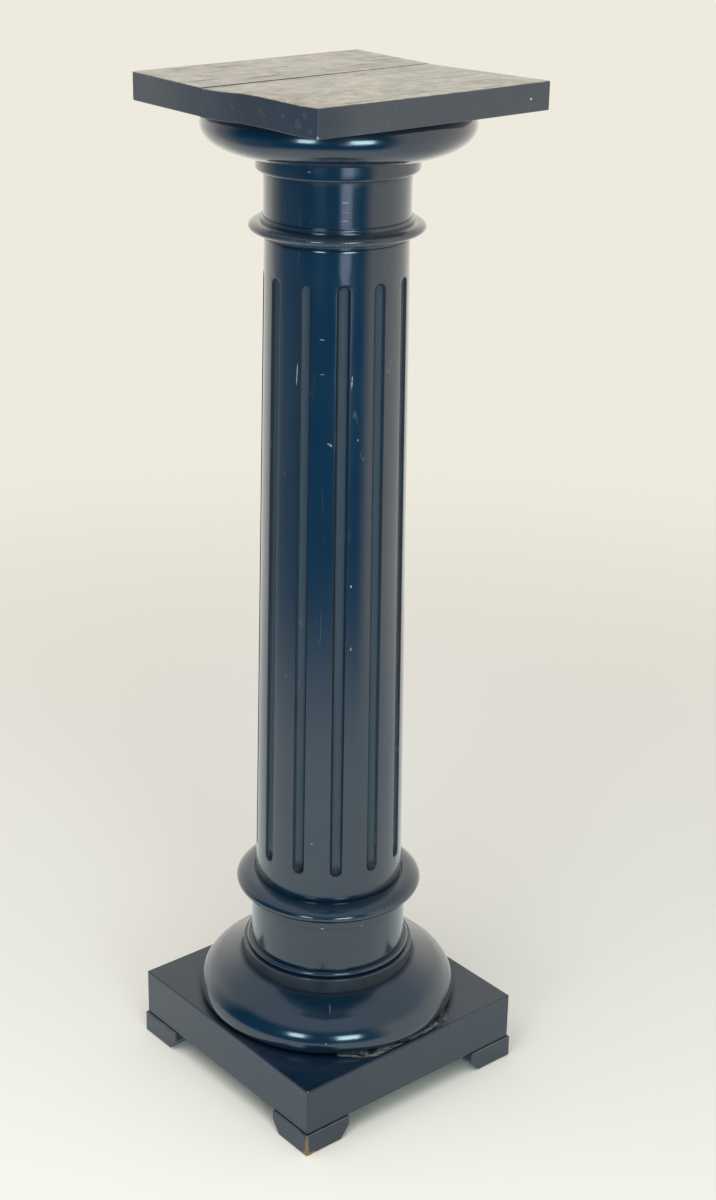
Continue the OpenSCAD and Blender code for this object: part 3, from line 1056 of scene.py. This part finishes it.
# %% Shape the feet
CANT_H, CANT, FOOT_EASE = 15.0, 12.0, 1.5
FOOT_CHIPS = [
    ((-146.5, -146.5, 11), (0, 0, 45), (1.9, 2.8, 19)),
    ((-146.5, -146.5, 3), (0, 0, 45), (3.4, 4.8, 9)),
    ((-141, -147, 1.5), (0, 0, 0), (9, 2.5, 2.4)),
    ((-147, -142, 1.5), (0, 0, 0), (2.5, 5, 2.0)),
    ((118, -147, 1.0), (0, 0, 0), (26, 2.0, 1.5)),
    ((-147, 120, 1.0), (0, 0, 0), (2.0, 22, 1.4)),
]
foot_satin = satin("foot_satin", FOOT_CHIPS)
for name in ("foot_front_left", "foot_front_right", "foot_back_left", "foot_back_right"):
    low, high = box_mm(name)
    toward = np.sign((low + high)[:2])
    points, outward, faces = block(low, high, FOOT_EASE, (1.6, 1.6, 1.4))
    arris = 1 - np.abs(outward).max(1)
    corner = np.where(toward > 0, high[:2], low[:2])
    below = np.clip((CANT_H - points[:, 2]) / CANT_H, 0, 1)
    share = (1 - below * CANT / (high[0] - low[0]))[:, None]
    points[:, :2] = corner + (points[:, :2] - corner) * share
    points -= outward * (arris * (1 + patchy(points, 6, 9)) * 0.9).clip(min=0)[:, None]
    foot = make_piece(name + "_block", points, faces, [name], foot_satin)
    store(foot, "worn", arris * np.clip(0.5 + patchy(points, 8, 3), 0, 1.2) * (points[:, 2] < 6))
    reach = np.abs(points[:, :2]).max(1)
    on_top = points[:, 2] > high[2] - 0.9
    # Dirt and painted shade where a foot's top meets the plinth.
    store(foot, "dirt", (on_top & (reach < 145.6)) * 1.0)
    store(foot, "dusty_edge", (on_top & (reach > 145.8)) * (0.8 + patchy(points, 10, 12)))

# %% [markdown]
# ## The torn strip
# Under the cushion's front right edge the plinth's face has lifted and old glue has squeezed out.
# It is a thin crust, broken and pale on its high spots, so it is a mesh of its own: a crescent
# grid round the cushion's foot whose height comes from two sizes of noise.

# %% Lay the torn strip
STRIP_LONG, STRIP_WIDE = 400, 20
STRIP_INNER_R, STRIP_OUTER_R, STRIP_SPREAD = 133.5, 136, 17
STRIP_SUNK, EDGE_LEFT = 0.3, 4.0
strip_turns = np.radians(np.linspace(-125, -57, STRIP_LONG))
across = np.linspace(0, 1, STRIP_WIDE)
taper = np.sin(np.linspace(0, math.pi, STRIP_LONG)) ** 0.6
outer = STRIP_OUTER_R + STRIP_SPREAD * taper + 1.5 * np.sin(strip_turns * 31)
reach = STRIP_INNER_R + (outer - STRIP_INNER_R)[:, None] * across[None, :]
strip_x = reach * np.cos(strip_turns)[:, None]
strip_y = np.maximum(reach * np.sin(strip_turns)[:, None], PLINTH_LOW[1] + EDGE_LEFT)
fibres = np.column_stack([
    np.repeat(strip_turns * 22, STRIP_WIDE), reach.ravel(), np.zeros(reach.size),
])
lumps = 0.7 + 1.3 * patchy(fibres, 3.2, 31) + 1.1 * patchy(fibres, 1.3, 47)
rise = lumps.clip(0, 2) * (taper[:, None] * (1 - across[None, :] ** 3)).ravel() + 0.02
corners = np.column_stack([strip_x.ravel(), strip_y.ravel(), np.full(reach.size, CUSHION_Z)])
strip_points = np.concatenate([corners + np.outer(rise, (0, 0, 1)), corners - (0, 0, STRIP_SUNK)])
under_row = reach.size
strip_faces = []
for i in range(STRIP_LONG - 1):
    for k in range(STRIP_WIDE - 1):
        a, b = i * STRIP_WIDE + k, (i + 1) * STRIP_WIDE + k
        strip_faces.append((a, a + 1, b + 1, b))
        strip_faces.append((a + under_row, b + under_row, b + 1 + under_row, a + 1 + under_row))
rim_loop = [i * STRIP_WIDE for i in range(STRIP_LONG)]
rim_loop += [(STRIP_LONG - 1) * STRIP_WIDE + k for k in range(1, STRIP_WIDE)]
rim_loop += [i * STRIP_WIDE + STRIP_WIDE - 1 for i in reversed(range(STRIP_LONG - 1))]
rim_loop += [k for k in reversed(range(1, STRIP_WIDE - 1))]
for a, b in zip(rim_loop, rim_loop[1:] + rim_loop[:1]):
    strip_faces.append((a, b, b + under_row, a + under_row))

glue, pen = new_material("torn_glue", (0.1, 0.1, 0.09))
place = pen.node("TexCoord", output="Object")
fine = soft_noise(pen, place, 1.2, 4, 0.7, 51)
broad = soft_noise(pen, place, 12, 3, 0.6, 52)
lifted = stored(pen, "lifted")
pale = (lifted + fine * 0.8 - 0.55).between(0.02, 0.35) * broad.between(0.34, 0.50)
pale = pale * fine.between(0.36, 0.52)
crust = fine.between(0.35, 0.65).blend((0.06, 0.07, 0.07), (0.27, 0.27, 0.25))
colour = pale.blend((0.002, 0.009, 0.015), crust)
coat(pen, {
    "Base Color": colour, "Roughness": 0.45 + pale * 0.3, "Normal": bump(pen, fine, 0.9, 0.8),
})
strip = new_mesh("torn_strip", strip_points, strip_faces)
strip.data.shade_smooth()
strip.data.materials.append(glue)
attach(strip, "root")
store(strip, "lifted", np.concatenate([lumps / 1.5, lumps * 0]))
print("torn strip up to", round(float(rise.max()), 1), "mm high")

# %% [markdown]
# ## The top boards
# Two boards, the seam between them a little open. Years of heating have dished them across the
# grain, so the seam sits low and the free edges high, and their upper face has weathered: the
# polish is gone from most of it, the grain stands up and fine splits run along it. Its pale colour is
# partly that bare wood and partly a painted sheen of the pale room, seen at a low angle.

# %% Weather the top's finish
SCUFF_SPOTS = [
    (-18, 1064, 8), (-30, 1060, 6), (-62, 1065, 9), (-80, 1061, 7),
    (-92, 1066, 6), (-113, 1062, 8), (-129, 1058, 6), (-120, 1070, 6),
]
# Pale wood whose light colour is partly a painted sheen of the pale room.
BARE_TOP_AND_SHEEN = (0.42, 0.365, 0.26)
BARE_TOP_DARK = (0.105, 0.092, 0.066)
CRAZE = (0.045, 0.042, 0.036)


def weathered(name):
    """The top's finish: satin on the sides, with painted shade and light on the −X face, bare and
    streaked on the upper face, whose pale colour is partly a painted sheen.
    """
    material, pen = new_material(name, (0.06, 0.06, 0.06))
    place = pen.node("TexCoord", output="Object")
    along = stretched(pen, place, (0.05, 1.0, 1.0))
    worn = stored(pen, "worn")
    upper = stored(pen, "upper")
    split = stored(pen, "split")

    cloud = soft_noise(pen, place, 60, 4, 0.6, 21)
    grain = soft_noise(pen, along, 1.6, 5, 0.62, 22)
    streaks = soft_noise(pen, along, 7, 4, 0.6, 23)
    scuffs = soft_noise(pen, place, 6, 3, 0.7, 24).between(0.56, 0.68) * cloud.between(0.40, 0.55)
    knocks = flecks(pen, place, 45, 0.7, 0.06)
    pale = mark(pen, place, (114.8, -TOP_HALF, 1064), (0, 0, 0), (1.5, 1.5, 1.2))
    pale = pale + 0.5 * mark(pen, place, (-139, -139, 1053.2), (0, 0, 45), (1.2, 1.2, 1.8))
    smudge = soft_noise(pen, place, 3.5, 3, 0.7, 27).between(0.48, 0.62)
    for y, z, half in SCUFF_SPOTS:
        spot = mark(pen, place, (-TOP_HALF, y, z), (20, 0, 0), (2.0, half, half * 0.7), 0.0)
        pale = pale + spot * smudge * 0.09

    mottle = soft_noise(pen, place, 15, 5, 0.68, 25)
    stain = streaks.between(0.3, 0.75).blend((0.0035, 0.0145, 0.032), (0.007, 0.018, 0.036))
    # Painted shade and light on the −X face: a thinner dust film darkens its front end and a thicker
    # one lightens its left end.
    handled_and_shaded = mark(pen, place, (-TOP_HALF, -80, 1064), (0, 0, 0), (60, 130, 60), 0.3)
    lit_left_end = mark(pen, place, (-TOP_HALF, TOP_HALF, 1064), (0, 0, 0), (50, 105, 60), 0.2)
    film = (cloud.between(0.3, 0.8) * 0.08 + 0.11) * (1.0 - handled_and_shaded) + lit_left_end * 0.30
    side_colour = (film + scuffs * 0.20).held().blend(stain, DUST)
    faded = (mottle * 0.5 + streaks * 0.15 + grain * 0.1 + cloud * 0.25).between(0.38, 0.62)
    cracks = soft_noise(pen, stretched(pen, place, (0.35, 1.0, 1.0)), 5, 3, 0.6, 26)
    crazed = (cracks - 0.5).size().between(0.03, 0)
    crazed = crazed * (mottle * 0.5 + cloud * 0.5).between(0.46, 0.54) * 0.8
    upper_colour_and_sheen = crazed.blend(faded.blend(BARE_TOP_DARK, BARE_TOP_AND_SHEEN), CRAZE)
    face = upper.blend(side_colour, upper_colour_and_sheen)
    shown = (worn * 0.55).held().blend(face, (0.33, 0.31, 0.27))
    marked = (knocks * 0.8 + pale).held().blend(shown, (0.6, 0.6, 0.57))
    colour = split.held().blend(marked, (0.008, 0.008, 0.008))
    dull = 0.36 + cloud * 0.10 + grain * 0.06 + split * 0.3 + upper * 0.02

    height = grain * 0.5 + streaks * 1.0 * upper
    coat(pen, {
        "Base Color": colour, "Roughness": dull, "Coat Roughness": 0.30,
        "Coat Weight": (1.0 - split.held()) * (0.8 - handled_and_shaded * 0.45),
        "Normal": bump(pen, height, 0.5, 0.25),
    })
    return material


top_finish = weathered("top_finish")

# %% Warp, split and chip the boards
SEAM_Y = 29.5
BOARD_EASE = 0.9
dice = random.Random(7)


def dish(points, high):
    """How far the boards sink, in millimetres: they sag at the seam and rise at the free edges."""
    y = points[:, 1]
    along = points[:, 0] / high[0]
    narrow = np.interp(y, [SEAM_Y, TOP_HALF], [2.5, 0.1])
    stops = [-TOP_HALF, -115, -90, -58, -30, -5, SEAM_Y]
    wide = np.interp(y, stops, [0.25, 1.1, 0.6, 0.05, 0.5, 2.3, 3.3])
    right_end = np.interp(y, [-TOP_HALF, SEAM_Y], [0.2, 2.9])
    wide = wide + (right_end - wide) * np.clip(along + 0.3, 0, 1)
    middle = 0.5 * (1 - along**2) * np.interp(y, [-TOP_HALF, -60], [1, 0])
    return np.where(y >= SEAM_Y, narrow, wide) + middle


def splits(count, low, high):
    """Fine splits along the grain: where each starts and ends, its line, depth and width."""
    made = []
    for _ in range(count):
        start = dice.uniform(low[0] + 4, high[0] - 40)
        made.append({
            "start": start, "end": start + dice.uniform(14, 90),
            "line": dice.uniform(low[1] + 4, high[1] - 4), "depth": dice.uniform(0.25, 1.1),
            "width": dice.uniform(0.35, 0.8), "seed": dice.uniform(0, 50),
        })
    return made


def split_depth(points, cuts):
    """How deep the splits go at each point; each wanders a little from its line."""
    x, y = points[:, 0], points[:, 1]
    depth = np.zeros(len(points))
    for cut in cuts:
        share = (x - cut["start"]) / (cut["end"] - cut["start"])
        wander = 1.2 * np.sin(x / 13 + cut["seed"]) + 0.4 * np.sin(x / 4.1 + 2 * cut["seed"])
        near = np.clip(1 - np.abs(y - cut["line"] - wander) / cut["width"], 0, 1)
        taper = np.clip(4 * share * (1 - share), 0, 1) ** 0.5
        depth = np.maximum(depth, cut["depth"] * near * np.where((share > 0) & (share < 1), taper, 0))
    return depth


def lay_board(name, node, count):
    """Makes one board over its node: eased and rubbed, split along the grain, then dished."""
    low, high = box_mm(node)
    points, outward, faces = block(low, high, BOARD_EASE, (3.0, 0.75, 2.6))
    arris = 1 - np.abs(outward).max(1)
    is_top = outward[:, 2] > 0.5
    depth = split_depth(points, splits(count, low, high)) * is_top
    at_seam = np.abs(points[:, 1] - SEAM_Y) < 2
    rub = (arris * (1 + patchy(points, 7, 5)) * 0.9).clip(min=0)
    rub[at_seam] = -0.6 * arris[at_seam]
    points -= outward * rub[:, None]
    height_share = (points[:, 2] - low[2]) / (high[2] - low[2])
    free = np.clip((np.hypot(points[:, 0], points[:, 1]) - 118) / 20, 0, 1)
    points[:, 2] -= dish(points, high) * (height_share + (1 - height_share) * free * 0.8)
    points[:, 2] -= depth
    board = make_piece(name, points, faces, [node], top_finish)
    store(board, "worn", arris * np.clip(0.5 + patchy(points, 12, 6), 0, 1))
    store(board, "upper", outward[:, 2] * 1.6 - 0.4)
    store(board, "split", depth * 2.2)


lay_board("wide_board", "top_board_wide", 26)
lay_board("narrow_board", "top_board_narrow", 15)
